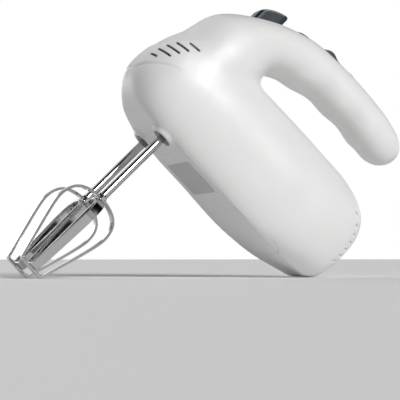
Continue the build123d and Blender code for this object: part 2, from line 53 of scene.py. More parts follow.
SIDE = Vector((0, 1, 0))
AXIS_Y = joints["right_drive_spin"]["pos_m"][1] / MM
DRIVE_Z = 30.0  # height of the drives' joints above the socket rims
ORIGIN = Vector(joints["right_drive_spin"]["pos_m"]) - SIDE * AXIS_Y * MM - UP * DRIVE_Z * MM
TO_ROW = Matrix.Translation(ORIGIN) @ Matrix((REAR, SIDE, UP)).transposed().to_4x4()
TO_ROW = TO_ROW @ Matrix.Scale(MM, 4)


# Materials --------------------------------------------------------------------------------
# Noise scales per metre, and the heights of the grain in metres
NOISE_DETAIL = 4.0
COLOR_PATCHES, SHEEN_PATCHES, PLASTIC_GRAIN, PLASTIC_RELIEF = 30, 60, 2500, 0.00005
METAL_PATCHES, METAL_GRAIN, METAL_RELIEF = 150, 900, 0.00002
# Where a ramp starts and ends on a noise, and how far the roughness varies about its value
RAMP_START, RAMP_END = 0.35, 0.65
PLASTIC_SMOOTHEST, PLASTIC_ROUGHEST = 0.88, 1.12
METAL_SMOOTHEST, METAL_ROUGHEST = 0.7, 1.3


def principled(name, color, roughness, metallic=0.0):
    """A node material with its principled shader and its node tree."""
    material = bpy.data.materials.new(name)
    material.use_nodes = True
    tree = material.node_tree
    shader = tree.nodes["Principled BSDF"]
    shader.inputs["Base Color"].default_value = (*color, 1)
    shader.inputs["Roughness"].default_value = roughness
    shader.inputs["Metallic"].default_value = metallic
    return material, tree, shader


def noise(tree, scale):
    """A noise texture in object space, where a unit is a metre."""
    coordinates = tree.nodes.new("ShaderNodeTexCoord")
    texture = tree.nodes.new("ShaderNodeTexNoise")
    texture.inputs["Scale"].default_value = scale
    texture.inputs["Detail"].default_value = NOISE_DETAIL
    tree.links.new(coordinates.outputs["Object"], texture.inputs["Vector"])
    return texture.outputs["Fac"]


def bump(tree, shader, height, strength, distance):
    """Raise the surface by a texture."""
    node = tree.nodes.new("ShaderNodeBump")
    node.inputs["Strength"].default_value = strength
    node.inputs["Distance"].default_value = distance
    tree.links.new(height, node.inputs["Height"])
    tree.links.new(node.outputs["Normal"], shader.inputs["Normal"])


def ramp(tree, value, low, high, socket):
    """Spread a texture between two colours or grey values."""
    node = tree.nodes.new("ShaderNodeValToRGB")
    node.color_ramp.elements[0].position = RAMP_START
    node.color_ramp.elements[1].position = RAMP_END
    node.color_ramp.elements[0].color = low
    node.color_ramp.elements[1].color = high
    tree.links.new(value, node.inputs["Fac"])
    tree.links.new(node.outputs["Color"], socket)


def grey(value):
    """An opaque grey."""
    return (value, value, value, 1)


def moulded(name, color, roughness, strength=0.08, spread=0.04):
    """Moulded plastic: a fine grain, and roughness and colour that vary a little."""
    material, tree, shader = principled(name, color, roughness)
    low = tuple(channel * (1 - spread) for channel in color) + (1,)
    high = tuple(min(1, channel * (1 + spread)) for channel in color) + (1,)
    ramp(tree, noise(tree, COLOR_PATCHES), low, high, shader.inputs["Base Color"])
    ramp(tree, noise(tree, SHEEN_PATCHES), grey(roughness * PLASTIC_SMOOTHEST),
         grey(roughness * PLASTIC_ROUGHEST), shader.inputs["Roughness"])
    bump(tree, shader, noise(tree, PLASTIC_GRAIN), strength, PLASTIC_RELIEF)
    return material


def metal(name, color, roughness, strength=0.05):
    """Metal with fine marks."""
    material, tree, shader = principled(name, color, roughness, 1.0)
    ramp(tree, noise(tree, METAL_PATCHES), grey(roughness * METAL_SMOOTHEST),
         grey(roughness * METAL_ROUGHEST), shader.inputs["Roughness"])
    bump(tree, shader, noise(tree, METAL_GRAIN), strength, METAL_RELIEF)
    return material


white_plastic = moulded("white_plastic", (0.76, 0.76, 0.755), 0.38, spread=0.01)
# near-black plastic: painted shade for the walls of the slots and sockets and the housing's inside
painted_shade_plastic = moulded("painted_shade_plastic", (0.004, 0.004, 0.004), 0.9)
slate_plastic = moulded("slate_plastic", (0.009, 0.017, 0.023), 0.30, strength=0.05)
dark_plastic = moulded("dark_plastic", (0.028, 0.030, 0.030), 0.42)
chrome = metal("chrome", (0.60, 0.60, 0.61), 0.09, strength=0.02)
MATERIALS = {
    "white_plastic": white_plastic,
    "slate_plastic": slate_plastic,
    "dark_plastic": dark_plastic,
    "chrome": chrome,
    "steel": metal("steel", (0.52, 0.52, 0.53), 0.3),
    "label": moulded("label_film", (0.5, 0.5, 0.5), 0.5, strength=0.02),
    "dark_rubber": moulded("dark_rubber", (0.02, 0.02, 0.02), 0.7),
    "grey_plastic": moulded("grey_plastic", (0.2, 0.21, 0.22), 0.5),
    "bronze": metal("bronze", (0.55, 0.36, 0.18), 0.4),
    "lamination": metal("lamination", (0.2, 0.2, 0.21), 0.45),
    "copper": metal("copper", (0.65, 0.28, 0.12), 0.35),
    "carbon": moulded("carbon", (0.02, 0.02, 0.02), 0.6),
    "brass": metal("brass", (0.75, 0.55, 0.22), 0.3),
    "board": moulded("board", (0.03, 0.16, 0.07), 0.4),
    "gear_nylon": moulded("gear_nylon", (0.75, 0.72, 0.62), 0.45),
}
slots = {part["node"]: part["material_slot"] for part in frame["record"]["subparts"]}
for node, piece in frame["nodes"].items():
    for place in piece.material_slots:
        place.material = MATERIALS[slots[node]]


# The housing's outside, as sections -------------------------------------------------------
# Body: x, bottom, top, half width, half width of the flat bottom
BODY = [(-47.8, 29, 38, 8, 3), (-46.3, 22, 48, 18, 7), (-43, 16, 60, 25.5, 10),
        (-37, 10.4, 70, 32, 15), (-28, 5.3, 76, 37.5, 22), (-15, 2.6, 79, 41, 29),
        (5, 2, 80, 43, 33), (40, 2, 81, 43.5, 34.5), (90, 2.2, 81.5, 43.5, 34.5),
        (115, 4.8, 81, 41, 28), (131, 8.4, 77.5, 35.5, 20), (141, 11.4, 72.5, 29.5, 15),
        (147, 19, 64, 23, 13), (149.5, 31, 54, 12, 6)]
# Handle: x, z, slope of its middle line, half width, outwards and inwards of that line
HANDLE = [(-8, 50, 90, 39, 34, 33), (-6, 72, 90, 37.5, 32.5, 30), (-2, 89, 80, 33, 30, 24),
          (9, 106, 48, 26, 17.8, 20.5), (30, 114.5, 18, 21.5, 18.5, 17.5),
          (56, 120.3, 5, 19, 17, 16.2), (84, 122, 0, 18.3, 16, 15.8),
          (108, 120.8, -4, 17.3, 15.3, 15.2), (121, 119.3, -8, 15, 13.3, 13.5),
          (128.5, 118, -12, 9.5, 8.5, 8.5), (131, 117.5, -12, 4, 3.5, 3.5)]
WALL = 2.5
# Voxel sizes of the remeshed skins
FINE_GRAIN = 0.8
GRAIN = FINE_GRAIN
HOLLOW_GRAIN = 1.6
SECTION_STEP = 1.5
ROUND_POINTS = 48  # points round a cylinder or a turned piece
SHOULDER = 0.42  # where the body is widest, as a share of its height
FULLNESS = 0.62  # how far a section's control points reach towards its corners
SMOOTHING = 0.5  # share of the way to its neighbours' mean that a vertex moves in a round
SHARP = 32  # edges that bend by more degrees are drawn sharp


def smooth_rings(rings, step):
    """Rings on smooth curves through the points of a loft's rings, about a step apart."""
    rows = np.array(rings, float)
    gaps = np.linalg.norm(np.diff(rows, axis=0), axis=2).mean(axis=1)
    wide = gaps[:, None, None]
    slopes = np.diff(rows, axis=0) / wide
    tangents = np.concatenate([slopes[:1], (slopes[:-1] * wide[1:] + slopes[1:] * wide[:-1])
                               / (wide[:-1] + wide[1:]), slopes[-1:]])
    dense = []
    for i, gap in enumerate(gaps):
        for t in np.arange(0, 1, 1 / max(1, round(gap / step))):
            dense.append((1 + 2 * t) * (1 - t) ** 2 * rows[i]
                         + t * t * (3 - 2 * t) * rows[i + 1]
                         + t * (1 - t) * gap * ((1 - t) * tangents[i] - t * tangents[i + 1]))
    dense.append(rows[-1])
    return dense


def bezier(points, count):
    """Points on a cubic curve, without its last point."""
    a, b, c, d = (np.array(point, float) for point in points)
    t = np.linspace(0, 1, count, endpoint=False)[:, None]
    return (1 - t) ** 3 * a + 3 * t * (1 - t) ** 2 * b + 3 * t * t * (1 - t) * c + t ** 3 * d


def body_ring(row, inset):
    """One section across the body: flat below, full below the middle, domed on top."""
    x, low, high, wide, base = row
    low, high, wide, base = low + inset, high - inset, wide - inset, max(1.0, base - inset)
    shoulder = low + SHOULDER * (high - low)
    drop, rise = shoulder - low, high - shoulder
    flat = np.linspace((0, low), (base, low), 10, endpoint=False)
    lower = bezier([(base, low), (base + 0.55 * (wide - base), low + 0.13 * drop),
                    (wide, shoulder - FULLNESS * drop), (wide, shoulder)], 24)
    upper = bezier([(wide, shoulder), (wide, shoulder + FULLNESS * rise),
                    (FULLNESS * wide, high), (0, high)], 34)
    right = np.vstack([flat, lower, upper, [(0, high)]])
    left = right[-2:0:-1] * (-1, 1)
    around = np.vstack([right, left])
    return np.column_stack([np.full(len(around), x), around])


def handle_ring(row, inset):
    """One section across the handle, a full oval square to the handle's middle line."""
    x, z, slope, wide, out, back = row
    wide, out, back = wide - inset, out - inset, back - inset
    k = FULLNESS
    oval = np.vstack([
        bezier([(wide, 0), (wide, k * out), (k * wide, out), (0, out)], 16),
        bezier([(0, out), (-k * wide, out), (-wide, k * out), (-wide, 0)], 16),
        bezier([(-wide, 0), (-wide, -k * back), (-k * wide, -back), (0, -back)], 16),
        bezier([(0, -back), (k * wide, -back), (wide, -k * back), (wide, 0)], 16)])
    turn = math.radians(slope)
    return np.column_stack([x - oval[:, 1] * math.sin(turn), oval[:, 0],
                            z + oval[:, 1] * math.cos(turn)])


def add_loft(bm, rings):
    """A closed skin over rings of equal length."""
    rows = [[bm.verts.new(point) for point in ring] for ring in rings]
    count = len(rows[0])
    for one, two in zip(rows, rows[1:]):
        for i in range(count):
            j = (i + 1) % count
            bm.faces.new((one[i], one[j], two[j], two[i]))
    for row, flip in ((rows[0], True), (rows[-1], False)):
        middle = bm.verts.new(sum((v.co for v in row), Vector()) / count)
        for i in range(count):
            pair = (row[i], row[(i + 1) % count])
            bm.faces.new((*(reversed(pair) if flip else pair), middle))


def loft_body(bm, inset=0.0):
    """The body's skin, with its sections drawn in by an inset."""
    add_loft(bm, smooth_rings([body_ring(row, inset) for row in BODY], SECTION_STEP))


def loft_handle(bm, inset=0.0):
    """The handle's skin, with its sections drawn in by an inset."""
    add_loft(bm, smooth_rings([handle_ring(row, inset) for row in HANDLE], SECTION_STEP))


def add_cylinder(bm, start, end, radius, end_radius=None, count=ROUND_POINTS):
    """A closed cylinder or cone between two points."""
    start, end = Vector(start), Vector(end)
    turn = (end - start).to_track_quat("Z", "Y").to_matrix()
    rings = []
    for middle, r in ((start, radius), (end, radius if end_radius is None else end_radius)):
        rings.append([middle + turn @ Vector((r * math.cos(a), r * math.sin(a), 0))
                      for a in np.linspace(0, math.tau, count, endpoint=False)])
    add_loft(bm, rings)


def add_box(bm, low, high):
    """A closed box between two corners."""
    size = Vector(high) - Vector(low)
    made = bmesh.ops.create_cube(bm, size=1)["verts"]
    bmesh.ops.scale(bm, vec=size, verts=made)
    bmesh.ops.translate(bm, vec=(Vector(high) + Vector(low)) / 2, verts=made)


def in_scene(name, data):
    """A new object in the scene."""
    made = bpy.data.objects.new(name, data)
    bpy.context.scene.collection.objects.link(made)
    return made


def scratch_object(name, bm):
    """An object for a modifier to work on."""
    bmesh.ops.recalc_face_normals(bm, faces=bm.faces)
    mesh = bpy.data.meshes.new(name)
    bm.to_mesh(mesh)
    bm.free()
    return in_scene(name, mesh)


def applied(piece):
    """The object's mesh with its modifiers applied; the object itself is dropped."""
    graph = bpy.context.evaluated_depsgraph_get()
    mesh = bpy.data.meshes.new_from_object(piece.evaluated_get(graph))
    bpy.data.objects.remove(piece)
    return mesh


def evened(piece, size):
    """The object's mesh, rebuilt from voxels; the object itself is dropped."""
    modifier = piece.modifiers.new("even", "REMESH")
    modifier.mode = "VOXEL"
    modifier.voxel_size = size
    return applied(piece)


def remeshed(name, bm, size):
    """The union of closed skins as one even mesh."""
    return evened(scratch_object(name, bm), size)


def combine(mesh, cutter_bm, operation):
    """One mesh cut by, or kept inside, closed skins."""
    piece = in_scene("work", mesh)
    cutter = scratch_object("cutter", cutter_bm)
    modifier = piece.modifiers.new("cut", "BOOLEAN")
    modifier.object = cutter
    modifier.operation = operation
    modifier.solver = "MANIFOLD"
    result = applied(piece)
    bpy.data.objects.remove(cutter)
    return result


def mesh_arrays(mesh):
    """A mesh's vertex places and the vertices of its edges, as arrays."""
    places = np.empty(len(mesh.vertices) * 3)
    mesh.vertices.foreach_get("co", places)
    edges = np.empty(len(mesh.edges) * 2, int)
    mesh.edges.foreach_get("vertices", edges)
    return places.reshape(-1, 3), edges.reshape(-1, 2)


def move_vertices(mesh, places):
    """Put a mesh's vertices at new places."""
    mesh.vertices.foreach_set("co", places.ravel())
    mesh.update()


def smoothed(places, edges, weight, rounds):
    """Move each vertex towards its neighbours' mean, as far as its weight says, many times."""
    keep = (weight[edges[:, 0]] > 0) | (weight[edges[:, 1]] > 0)
    one, two = edges[keep, 0], edges[keep, 1]
    count = len(places)
    near = np.bincount(one, minlength=count) + np.bincount(two, minlength=count)
    near = np.maximum(near, 1)
    share = weight[:, None]
    for factor in rounds:
        total = np.column_stack([
            np.bincount(one, places[two, k], count) + np.bincount(two, places[one, k], count)
            for k in range(3)])
        places = places + factor * share * (total / near[:, None] - places)
    return places


def distances(places, loft):
    """How far each vertex lies from a loft's skin."""
    bm = bmesh.new()
    loft(bm)
    tree = BVHTree.FromBMesh(bm)
    bm.free()
    return np.array([tree.find_nearest(place)[3] for place in places])


def step_up(value, width):
    """0 below, 1 above and smooth between, over a width about zero."""
    t = np.clip(value / width + 0.5, 0, 1)
    return t * t * (3 - 2 * t)


# Vents, openings and screws ---------------------------------------------------------------
# Slots on the nose: x of the middle and length, from the lowest upwards
NOSE_SLOTS = [(-44.0, 4.0), (-40.6, 8.6), (-38.2, 9.5), (-35.0, 9.5), (-29.5, 8.5)]
SLOT_Z, SLOT_PITCH, SLOT_HEIGHT = 35.0, 5.6, 1.9
SLOT_INNER_Y, SLOT_OUTER_Y = 12, 50
END_FLAT = 0.01  # keeps the outline points at a slot's round end apart
CORNER_POINTS = 8
RIB = ((-60, -1.7, 20), (-27, -0.3, 56))
REAR_HOLES, HOLE_Z, HOLE_PITCH, HOLE_R, HOLE_Y = 7, 30.5, 5.8, 1.4, 25.5
REAR_CUT = (120, 165)
SEAM_SCREWS = [(-30, 60), (128, 22), (132, 60), (92, 121)]
SCREW_BOSS_R, SCREW_BOSS_Y = 4.0, 50
SCREW_WELL_R, SCREW_HEAD_Y, SCREW_WELL_Y = 3.3, 9.0, 60
SOCKET_R, SOCKET_CUT = 7.0, (-3, 12)
RIM_R, FLARE_R, FLARE_Z = 9.6, 14, 16
BRIDGE_X, BRIDGE_Z = (-3, 12), (0.4, 10)
COVER_X, COVER_HALF_Y, COVER_CORNER = (-3.0, 112.0), 36.0, 12.0
COVER_BOTTOM, COVER_TOP = -4, 9
BOSS_R = 11.5
BUTTON_X, BUTTON_HALF_Y, BUTTON_CORNER = (-13.2, 5.4), 8.5, 3
BUTTON_GAP, BUTTON_CUT = 0.4, (100, 150)
CORD_Z, CORD_RING_R, CORD_CUT = 40.0, 7.0, (140, 165)
SLIDE_ORIGIN, SLIDE_SLOPE = Vector((44, 0, 135)), math.radians(8)
SLIDE_X = Vector((math.cos(SLIDE_SLOPE), 0, math.sin(SLIDE_SLOPE)))
SLIDE_Z = Vector((-math.sin(SLIDE_SLOPE), 0, math.cos(SLIDE_SLOPE)))
TRACK_LENGTH, TRACK_WIDTH, TRACK_BOTTOM, TRACK_TOP = 54.0, 14.0, -3.2, 12
SEAM = 0.2
FAR = 200.0
# Rounds of smoothing. A blend is half faded at its reach, X or Z, over the width of its fade;
# ROOT_Z and SOCKET_Z are sharp lower limits.
EVENING, EVEN_ROUNDS = [0.5, -0.52], 8
ROOT_ROUNDS, ROOT_REACH, ROOT_FADE, ROOT_Z = 160, 7, 6, 40
NOSE_ROUNDS, NOSE_X, NOSE_FADE_X, NOSE_Z, NOSE_FADE_Z = 80, -14, 14, 46, 20
SOCKET_ROUNDS, SOCKET_REACH, SOCKET_FADE, SOCKET_Z = 14, 18, 6, 1.2
# Vent band: the crease below it rises to the sides, the one above it rises rearwards
LOWER_CREASE_Z, LOWER_CREASE_RISE, LOWER_CREASE_Y, LOWER_CREASE_POWER = 22, 17, 39, 2.2
UPPER_CREASE_X, UPPER_CREASE_Z, UPPER_CREASE_SLOPE, UPPER_CREASE_BEND = -43.5, 51, 1.35, 0.02
LOWER_CREASE_WIDTH, UPPER_CREASE_WIDTH, UPPER_CREASE_STRENGTH = 0.9, 1.5, 1.1
BAND_END_X, BAND_FADE, LOWER_EDGE, UPPER_EDGE = -29, 14, 1.6, 3
BAND_HEIGHT, CREASE_DEPTH = 0.7, 0.4
# Finger waves: where the handle's underside carries them, and their shape
UNDER_NORMAL, UNDER_FADE = 0.1, 0.9
WAVES_Z, WAVES_HALF_Y, WAVES_EDGE = 95, 19, 6
WAVES_START_X, WAVES_END_X, WAVES_FADE = 30, 106, 14
WAVE_X, WAVE_LENGTH, WAVE_HEIGHT = 43, 29, 0.6


def rounded(width, depth, corner, middle=(0, 0)):
    """A rectangle with round corners, as points around its middle."""
    points = []
    for sx, sy, start in ((1, 1, 0), (-1, 1, 90), (-1, -1, 180), (1, -1, 270)):
        for a in np.radians(start + np.linspace(0, 90, CORNER_POINTS)):
            points.append((middle[0] + sx * (width / 2 - corner) + corner * math.cos(a),
                           middle[1] + sy * (depth / 2 - corner) + corner * math.sin(a)))
    return points


def stadium(length, width, middle=(0, 0)):
    """A slot's outline, round at both ends."""
    return rounded(length, width, width / 2 - END_FLAT, middle)


def add_prism(bm, outline, place, start, end):
    """A closed prism: place turns outline points and a height into the mixer's frame."""
    add_loft(bm, [[place(u, v, start) for u, v in outline], [place(u, v, end) for u, v in outline]])


def upright(u, v, w):
    """Outline seen from above."""
    return Vector((u, v, w))


def sideways(u, v, w):
    """Outline seen from the side."""
    return Vector((u, w, v))


def on_slide(u, v, w):
    """Outline seen square to the slider's track."""
    return SLIDE_ORIGIN + SLIDE_X * u + SLIDE_Z * w + Vector((0, v, 0))


def beside_slide(u, v, w):
    """Outline seen from the side of the slider's track."""
    return on_slide(u, w, v)


def blended(places, edges):
    """Vertex places after smoothing all over and then at the handle's root, nose and sockets."""
    spread = (FINE_GRAIN / GRAIN) ** 2
    everywhere = np.ones(len(places))
    places = smoothed(places, edges, everywhere, EVENING * round(EVEN_ROUNDS * spread))
    # a wide soft blend where the handle grows out of the body
    gap = np.maximum(distances(places, loft_body), distances(places, loft_handle))
    blend = step_up(ROOT_REACH - gap, ROOT_FADE) * (places[:, 2] > ROOT_Z)
    places = smoothed(places, edges, blend, [SMOOTHING] * round(ROOT_ROUNDS * spread))
    # the nose is round all over
    x, y, z = places.T
    blend = step_up(NOSE_X - x, NOSE_FADE_X) * step_up(NOSE_Z - z, NOSE_FADE_Z)
    places = smoothed(places, edges, blend, [SMOOTHING] * round(NOSE_ROUNDS * spread))
    # a small blend round the sockets
    x, y, z = places.T
    reach = np.hypot(x, np.abs(y) - AXIS_Y)
    blend = step_up(SOCKET_REACH - reach, SOCKET_FADE) * (z < FLARE_Z) * (z > SOCKET_Z)
    return smoothed(places, edges, blend, [SMOOTHING] * round(SOCKET_ROUNDS * spread))


def relief(places, normals):
    """How far each vertex stands proud: vent band, its two creases, and finger waves."""
    x, y, z = places.T
    # vent band: raised a little between two creases that fade towards the rear
    lower = LOWER_CREASE_Z + LOWER_CREASE_RISE * (np.abs(y) / LOWER_CREASE_Y) ** LOWER_CREASE_POWER
    back = x - UPPER_CREASE_X
    upper = UPPER_CREASE_Z + UPPER_CREASE_SLOPE * back - UPPER_CREASE_BEND * back ** 2
    fade = 1 - step_up(x - BAND_END_X, BAND_FADE)
    band = step_up(z - lower, LOWER_EDGE) * step_up(upper - z, UPPER_EDGE)
    crease = (np.exp(-((z - lower) / LOWER_CREASE_WIDTH) ** 2)
              + UPPER_CREASE_STRENGTH * np.exp(-((z - upper) / UPPER_CREASE_WIDTH) ** 2))
    lift = fade * (BAND_HEIGHT * band - CREASE_DEPTH * crease)
    # finger waves under the handle
    under = (step_up(-normals[:, 2] - UNDER_NORMAL, UNDER_FADE) * step_up(z - WAVES_Z, WAVES_EDGE)
             * step_up(WAVES_HALF_Y - np.abs(y), WAVES_EDGE))
    reach = step_up(x - WAVES_START_X, WAVES_FADE) * (1 - step_up(x - WAVES_END_X, WAVES_FADE))
    wave = np.cos((x - WAVE_X) / WAVE_LENGTH * math.tau)
    return lift + WAVE_HEIGHT * under * reach * wave


def outside():
    """Body, handle and socket bosses as one skin, blended and relieved."""
    bm = bmesh.new()
    loft_body(bm)
    loft_handle(bm)
    for y in (-AXIS_Y, AXIS_Y):
        add_cylinder(bm, (0, y, 0), (0, y, FLARE_Z), RIM_R, FLARE_R)
    # a bridge between the two bosses
    add_box(bm, (BRIDGE_X[0], -AXIS_Y, BRIDGE_Z[0]), (BRIDGE_X[1], AXIS_Y, BRIDGE_Z[1]))
    mesh = remeshed("outside", bm, GRAIN)
    places, edges = mesh_arrays(mesh)
    places = blended(places, edges)
    move_vertices(mesh, places)
    normals = np.empty(len(places) * 3)
    mesh.vertex_normals.foreach_get("vector", normals)
    normals = normals.reshape(-1, 3)
    places = places + normals * relief(places, normals)[:, None]
    move_vertices(mesh, places)
    return mesh


def hollow():
    """The room inside the housing, less the screw bosses and a rib."""
    bm = bmesh.new()
    loft_body(bm, WALL)
    loft_handle(bm, WALL)
    mesh = remeshed("hollow", bm, HOLLOW_GRAIN)
    bosses = bmesh.new()
    for x, z in SEAM_SCREWS:
        add_cylinder(bosses, (x, -SCREW_BOSS_Y, z), (x, SCREW_BOSS_Y, z), SCREW_BOSS_R)
    mesh = combine(mesh, bosses, "DIFFERENCE")
    # a rib in the left half, beside the seam, hides the far side's slots from view
    rib = bmesh.new()
    add_box(rib, *RIB)
    return combine(mesh, rib, "DIFFERENCE")


def openings():
    """Everything that is cut through the housing's wall."""
    bm = bmesh.new()
    for index, (x, length) in enumerate(NOSE_SLOTS):
        outline = stadium(length, SLOT_HEIGHT, (x, SLOT_Z + index * SLOT_PITCH))
        for side in (-1, 1):
            add_prism(bm, outline, sideways, side * SLOT_INNER_Y, side * SLOT_OUTER_Y)
    for y in (-AXIS_Y, AXIS_Y):
        add_cylinder(bm, (0, y, SOCKET_CUT[0]), (0, y, SOCKET_CUT[1]), SOCKET_R)
    # the walls of the slots and the sockets get the near-black plastic: painted shade
    for face in bm.faces:
        face.material_index = 1
    for index in range(REAR_HOLES):
        z = HOLE_Z + index * HOLE_PITCH
        for y in (-HOLE_Y, HOLE_Y):
            add_cylinder(bm, (REAR_CUT[0], y, z), (REAR_CUT[1], y, z), HOLE_R, count=24)
    add_cylinder(bm, (CORD_CUT[0], 0, CORD_Z), (CORD_CUT[1], 0, CORD_Z), CORD_RING_R)
    outline = rounded(BUTTON_X[1] - BUTTON_X[0] + 2 * BUTTON_GAP,
                      2 * (BUTTON_HALF_Y + BUTTON_GAP),
                      BUTTON_CORNER + BUTTON_GAP, (sum(BUTTON_X) / 2, 0))
    add_prism(bm, outline, upright, *BUTTON_CUT)
    add_prism(bm, stadium(TRACK_LENGTH, TRACK_WIDTH), on_slide, TRACK_BOTTOM, TRACK_TOP)
    for x, z in SEAM_SCREWS:
        add_cylinder(bm, (x, SCREW_HEAD_Y, z), (x, SCREW_WELL_Y, z), SCREW_WELL_R)
    return bm


def mesh_to_bm(mesh, material_index=0):
    """An editable copy of a mesh with one material on all its faces."""
    bm = bmesh.new()
    bm.from_mesh(mesh)
    for face in bm.faces:
        face.material_index = material_index
    return bm


def finish_mesh(name, mesh, materials, body, replaced, sharp=SHARP):
    """A mesh in the mixer's frame becomes a finished piece that rides on a body."""
    mesh.transform(TO_ROW)
    for polygon in mesh.polygons:
        polygon.use_smooth = True
    mesh.set_sharp_from_angle(angle=math.radians(sharp))
    mesh.materials.clear()
    for material in materials:
        mesh.materials.append(material)
    mesh.name = name
    piece = in_scene(name, mesh)
    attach(piece, body)
    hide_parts(*replaced)


def half_space(side):
    """A box that holds all of the mixer on one side of the seam."""
    bm = bmesh.new()
    add_box(bm, (-FAR, min(side * SEAM / 2, side * FAR), -FAR),
            (FAR, max(side * SEAM / 2, side * FAR), FAR))
    return bm


def cover_zone(grow):
    """The bottom cover's place, from the sockets rearwards."""
    bm = bmesh.new()
    outline = rounded(COVER_X[1] - COVER_X[0] + 2 * grow, 2 * (COVER_HALF_Y + grow),
                      COVER_CORNER + grow, (sum(COVER_X) / 2, 0))
    add_prism(bm, outline, upright, COVER_BOTTOM, COVER_TOP)
    return bm


def boss_zones(grow):
    """The bottom cover's places round the sockets."""
    bm = bmesh.new()
    for y in (-AXIS_Y, AXIS_Y):
        add_cylinder(bm, (0, y, COVER_BOTTOM), (0, y, COVER_TOP), BOSS_R + grow, count=64)
    return bm


def housing():
    """The two half shells and the bottom cover."""
    plastics = [white_plastic, painted_shade_plastic]
    shell = outside()
    for plastic in plastics:
        shell.materials.append(plastic)
    # the housing's inside gets the near-black plastic: painted shade
    shell = combine(shell, mesh_to_bm(hollow(), 1), "DIFFERENCE")
    shell = combine(shell, openings(), "DIFFERENCE")
    inside = scratch_object("zone", cover_zone(-SEAM / 2))
    inside = combine(applied(inside), boss_zones(-SEAM / 2), "UNION")
    cover = combine(shell.copy(), mesh_to_bm(inside), "INTERSECT")
    shell = combine(shell, cover_zone(SEAM / 2), "DIFFERENCE")
    shell = combine(shell, boss_zones(SEAM / 2), "DIFFERENCE")
    left = combine(shell.copy(), half_space(-1), "INTERSECT")
    right = combine(shell, half_space(1), "INTERSECT")
    finish_mesh("housing_left", left, plastics, "housing", ["left_shell"])
    finish_mesh("housing_right", right, plastics, "housing", ["right_shell"])
    finish_mesh("housing_bottom", cover, plastics, "housing", ["bottom_cover"])


# Beaters and controls ---------------------------------------------------------------------
SHAFT_R, SHAFT_TOP = 3.0, 40.0
COLLAR_TOP, COLLAR_BOTTOM, COLLAR_R, ROD_R = -57.5, -62.0, 3.7, 1.6
HEAD_R, HEAD_SHOULDER_Z, HEAD_FOOT_R, HEAD_FOOT_Z = 22.0, -77.0, 11.0, -125.0
STRIP, STRIP_WIDTH, STRIP_SOFT = 1.7, 6.4, 0.3
BUTTON_FRONT_Z, BUTTON_REAR_Z, BUTTON_FOOT_Z = 118.6, 129.7, 108
BUTTON_SIDE_Y, BUTTON_PLAN_Z = 12, (100, 140)
BUTTON_GRAIN, BUTTON_ROUNDS, BUTTON_SHARP = 0.35, 14, 60
SLIDER_PLAN, SLIDER_CORNER, SLIDER_X, SLIDER_PLAN_Z = (20, 10), 2.5, 3.7, (-2, 10)
SLIDER_SIDE_Y, SLIDER_GRAIN, SLIDER_ROUNDS, SLIDER_SHARP = 8, 0.3, 6, 50
STEM_PLAN, STEM_CORNER, STEM_X, STEM_Z = (6, 3.6), 0.5, 3, (-12, -0.2)
# The slider seen from its side, on the track: along it and up
SLIDER_PROFILE = [
    (13.2, 0.2), (12.2, 0.7), (9.7, 1.1), (7.9, 1.5), (6.4, 2.1), (5.2, 2.8), (3.8, 3.5),
    (2.2, 3.9), (0.4, 3.9), (-1.2, 3.5), (-2.8, 2.7), (-4.4, 1.8), (-5.6, 1.2), (-6.3, 0.8),
    (-6.3, -0.3), (13.2, -0.3)]
LABEL_SIZE, LABEL_CORNER, LABEL_X, LABEL_Z = (28, 50), 2, 37.5, (1.72, 2.06)


def lathe(bm, middle_y, profile):
    """A closed turned skin from radius and height pairs."""
    add_loft(bm, [[Vector((r * math.cos(a), middle_y + r * math.sin(a), z))
                   for a in np.linspace(0, math.tau, ROUND_POINTS, endpoint=False)]
                  for r, z in profile])


def loop_path(lift):
    """The middle line of a strip, as points across and up, from top to foot and back."""
    inset = STRIP / 2
    top, wide, narrow = COLLAR_TOP - lift - inset, HEAD_R - inset, HEAD_FOOT_R - inset
    low = HEAD_FOOT_Z + lift + inset
    shoulder, foot, heel = (wide, HEAD_SHOULDER_Z), (narrow, low + 3), (narrow - 3.5, low)
    half = np.vstack([
        bezier([(0, top), (13, top - 1), (wide, HEAD_SHOULDER_Z + 14), shoulder], 30),
        bezier([shoulder, (wide - 0.3, HEAD_SHOULDER_Z - 8), (narrow + 2.2, low + 12), foot], 30),
        bezier([foot, (narrow - 0.2, low + 1.2), (narrow - 1.2, low), heel], 8),
        np.linspace(heel, (0, low), 8)])
    return np.vstack([half, half[-2:0:-1] * (-1, 1)])


def add_strip(bm, path, place):
    """A flat strip with soft edges, bent along a closed path."""
    half, edge, soft = STRIP_WIDTH / 2, STRIP / 2, STRIP_SOFT
    outline = [(half, edge - soft), (half - soft, edge), (soft - half, edge),
               (-half, edge - soft), (-half, soft - edge), (soft - half, -edge),
               (half - soft, -edge), (half, soft - edge)]
    along = np.roll(path, -1, 0) - np.roll(path, 1, 0)
    along /= np.linalg.norm(along, axis=1)[:, None]
    outward = np.column_stack([along[:, 1], -along[:, 0]])
    rings = [[bm.verts.new(place(*(point + out * n), w)) for w, n in outline]
             for point, out in zip(path, outward)]
    for one, two in zip(rings, rings[1:] + rings[:1]):
        for i in range(len(outline)):
            j = (i + 1) % len(outline)
            bm.faces.new((one[i], one[j], two[j], two[i]))


def bm_piece(name, bm, material, body, replaced, sharp=SHARP):
    """Closed skins in the mixer's frame become a finished piece of one material."""
    bmesh.ops.recalc_face_normals(bm, faces=bm.faces)
    mesh = bpy.data.meshes.new(name)
    bm.to_mesh(mesh)
    bm.free()
    finish_mesh(name, mesh, [material], body, replaced, sharp)


